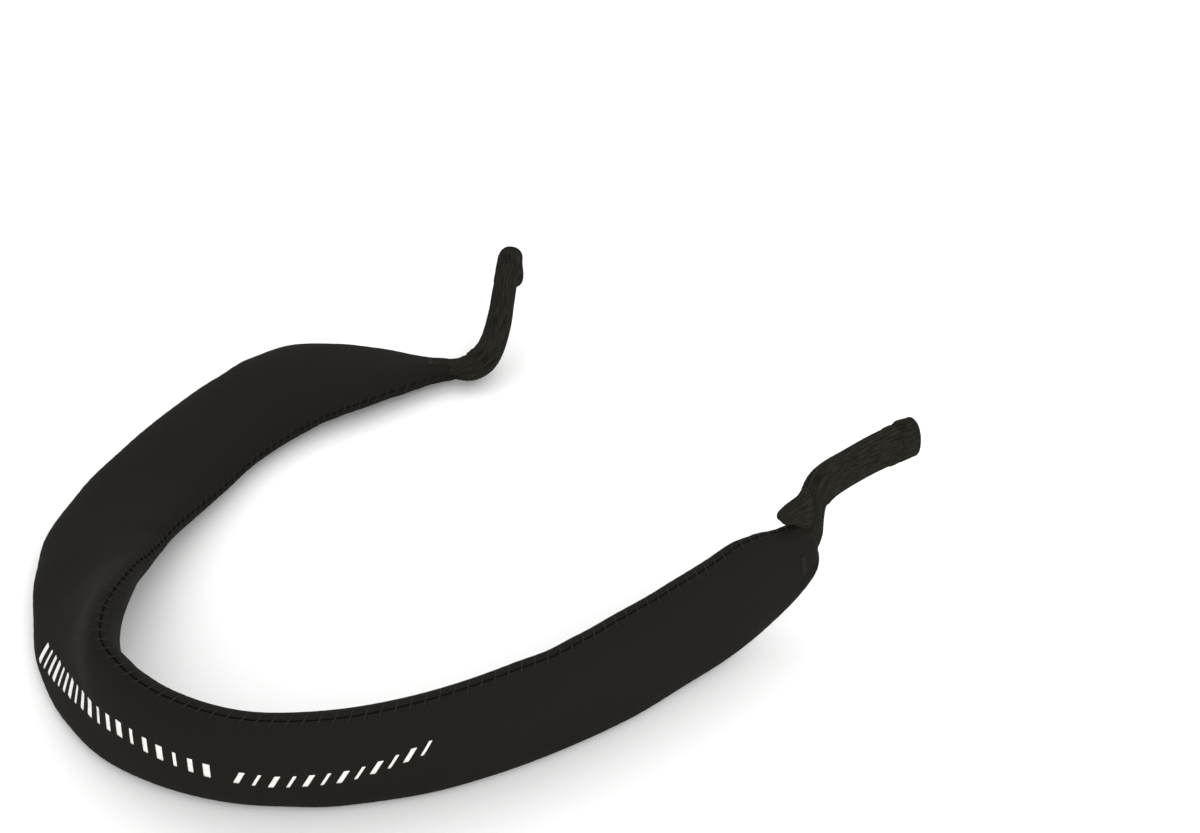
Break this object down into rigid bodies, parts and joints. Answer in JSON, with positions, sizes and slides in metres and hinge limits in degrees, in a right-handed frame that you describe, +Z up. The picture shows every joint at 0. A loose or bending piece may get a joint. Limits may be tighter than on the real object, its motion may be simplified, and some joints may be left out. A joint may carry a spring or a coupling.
{
  "type": "eyeglass retainer strap",
  "caption": "Padded floating neck strap for glasses: a soft band that narrows at both ends to hollow knit sleeves, which slip over the temple arms.",
  "frame": {"origin": "centre of the overall box in plan, at table height", "axes": "+Z up from the table the strap lies on; +Y from the fold at the front towards the two sleeve mouths; +X to the right half of the band"},
  "size_m": [0.1544, 0.167, 0.0301],
  "materials": {
    "neoprene": "black jersey-faced neoprene, matte with a faint sheen",
    "foam": "dark closed-cell foam",
    "thread": "black sewing thread",
    "knit": "black ribbed stretch knit, matte"
  },
  "bodies": {
    "left_band": {"outer_cover_left": "neoprene", "inner_cover_left": "neoprene", "float_core_left": "foam", "upper_seam_left": "thread", "lower_seam_left": "thread", "left_sleeve_root": "knit", "left_bar_tack": "thread"},
    "right_band": {"outer_cover_right": "neoprene", "inner_cover_right": "neoprene", "float_core_right": "foam", "upper_seam_right": "thread", "lower_seam_right": "thread", "right_sleeve_root": "knit", "right_sleeve_tail": "knit", "right_bar_tack": "thread"},
    "left_sleeve": {"left_sleeve": "knit", "left_hem_stitch": "thread"},
    "right_sleeve": {"right_sleeve": "knit", "right_hem_stitch": "thread"}
  },
  "joints": [
    {"name": "band_fold", "type": "hinge", "parent": "left_band", "child": "right_band", "pos_m": [-0.00437, -0.07869, 0.01426], "axis": [0, 0, 1], "range_deg": [-60, 30]},
    {"name": "left_sleeve_swing", "type": "hinge", "parent": "left_band", "child": "left_sleeve", "pos_m": [-0.03234, 0.05931, 0.00519], "axis": [0, 0, 1], "range_deg": [-65, 45]},
    {"name": "right_sleeve_swing", "type": "hinge", "parent": "right_band", "child": "right_sleeve", "pos_m": [0.06866, 0.04322, 0.02545], "axis": [0, 0, 1], "range_deg": [-60, 60]}
  ]
}
